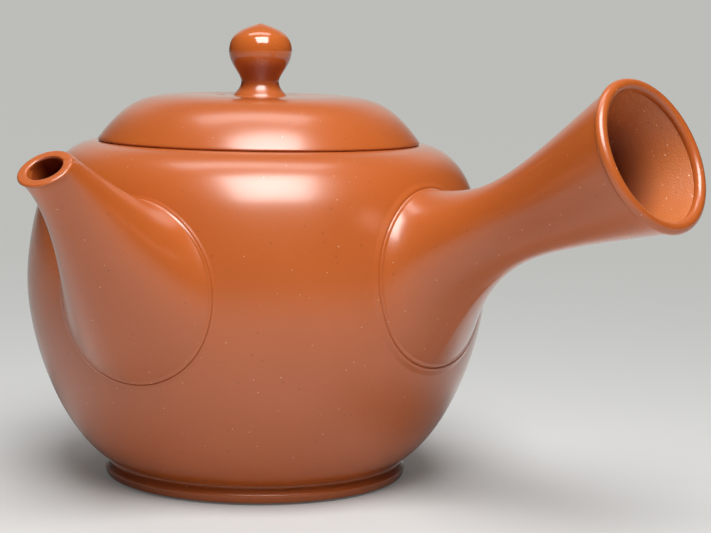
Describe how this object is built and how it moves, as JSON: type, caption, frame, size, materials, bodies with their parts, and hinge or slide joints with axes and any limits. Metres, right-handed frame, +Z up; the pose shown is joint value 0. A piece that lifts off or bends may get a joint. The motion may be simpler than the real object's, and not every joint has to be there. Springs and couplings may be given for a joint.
{
  "type": "kyusu teapot",
  "caption": "Side-handled Japanese teapot in burnished orange-red clay, with a short spout, a hollow trumpet handle, a domed lift-off lid and a pear-shaped knob.",
  "frame": {"origin": "on the floor, on the axis of the body", "axes": "+Z up along the body's axis, the spout along -X, the handle mostly along -Y"},
  "size_m": [0.1233, 0.1473, 0.0937],
  "materials": {
    "burnished_clay": "burnished, satin",
    "bare_clay": "unburnished, matt"
  },
  "bodies": {
    "pot": {"body": "burnished_clay", "spout": "burnished_clay", "handle": "burnished_clay", "strainer": "bare_clay"},
    "lid": {"lid": "burnished_clay", "knob": "burnished_clay"}
  },
  "joints": [
    {"name": "lid_lift", "type": "slide", "parent": "pot", "child": "lid", "axis": [0, 0, 1], "range_m": [0, 0.06]}
  ]
}
